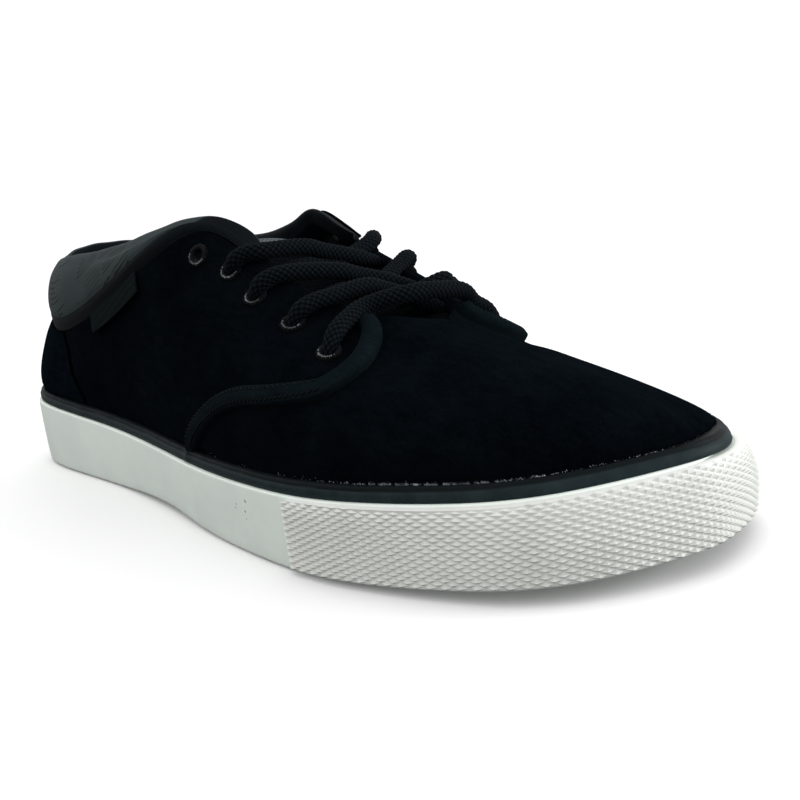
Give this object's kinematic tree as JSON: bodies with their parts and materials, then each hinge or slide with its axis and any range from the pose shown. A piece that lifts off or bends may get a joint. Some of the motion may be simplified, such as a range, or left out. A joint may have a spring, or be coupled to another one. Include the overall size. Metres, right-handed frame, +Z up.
{
  "type": "low sneaker",
  "caption": "Low suede sneaker for the right foot with a padded collar, round laces, a white rubber cup sole and a diamond toe bumper, standing empty on its sole.",
  "frame": {"origin": "on the floor under the middle of the shoe's outline box", "axes": "+X towards the toe, +Y towards the inner side of the foot, +Z up"},
  "size_m": [0.2982, 0.1104, 0.0927],
  "materials": {
    "white_rubber": "satin moulded rubber",
    "bumper_rubber": "raised diamond rubber",
    "black_rubber": "satin rubber",
    "black_suede": "napped suede",
    "band_suede": "stitched suede edge",
    "collar_fabric": "padded fabric with dark strokes",
    "tongue_fabric": "padded cloth",
    "insole_fabric": "footbed cloth",
    "eyelet_thread": "embroidered thread",
    "lace_braid": "round braid",
    "tag_weave": "woven tape"
  },
  "bodies": {
    "root": {"sole": "white_rubber", "toe_bumper": "bumper_rubber", "foxing_stripe": "black_rubber", "upper": "black_suede", "collar": "collar_fabric", "quarter_band_lateral": "band_suede", "quarter_band_medial": "band_suede", "tongue": "tongue_fabric", "insole": "insole_fabric", "eyelet_lateral_1": "eyelet_thread", "eyelet_lateral_2": "eyelet_thread", "eyelet_lateral_3": "eyelet_thread", "eyelet_lateral_4": "eyelet_thread", "eyelet_lateral_5": "eyelet_thread", "eyelet_medial_1": "eyelet_thread", "eyelet_medial_2": "eyelet_thread", "eyelet_medial_3": "eyelet_thread", "eyelet_medial_4": "eyelet_thread", "eyelet_medial_5": "eyelet_thread", "lace_cross_1": "lace_braid", "lace_cross_2": "lace_braid", "lace_cross_3": "lace_braid", "lace_bar": "lace_braid", "side_tag": "tag_weave"}
  },
  "joints": []
}
